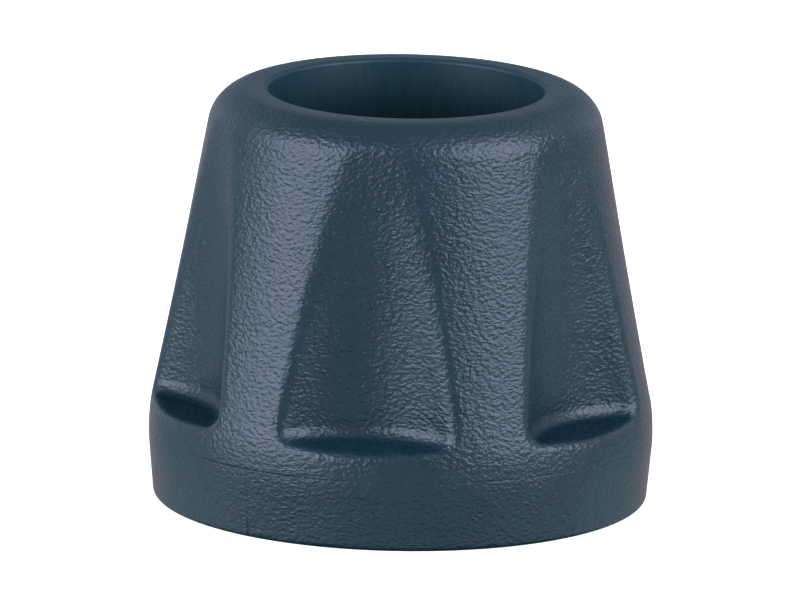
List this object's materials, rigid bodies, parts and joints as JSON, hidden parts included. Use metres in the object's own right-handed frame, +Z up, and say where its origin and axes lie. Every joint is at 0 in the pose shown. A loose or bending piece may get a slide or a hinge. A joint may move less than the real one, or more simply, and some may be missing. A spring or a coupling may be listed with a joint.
{
  "type": "rubber cane tip",
  "caption": "Moulded rubber tip with a blind round socket, a tapered body scooped between ribs, a plain collar and a ringed flat sole.",
  "frame": {"origin": "centre of the sole, on the plane that the tip stands on", "axes": "+Z up along the socket towards its mouth, -Y through the middle of one scoop"},
  "size_m": [0.0458, 0.0458, 0.0377],
  "materials": {
    "rubber": "matt, with a fine spark-eroded grain"
  },
  "bodies": {
    "root": {"rubber_tip": "rubber"}
  },
  "joints": []
}
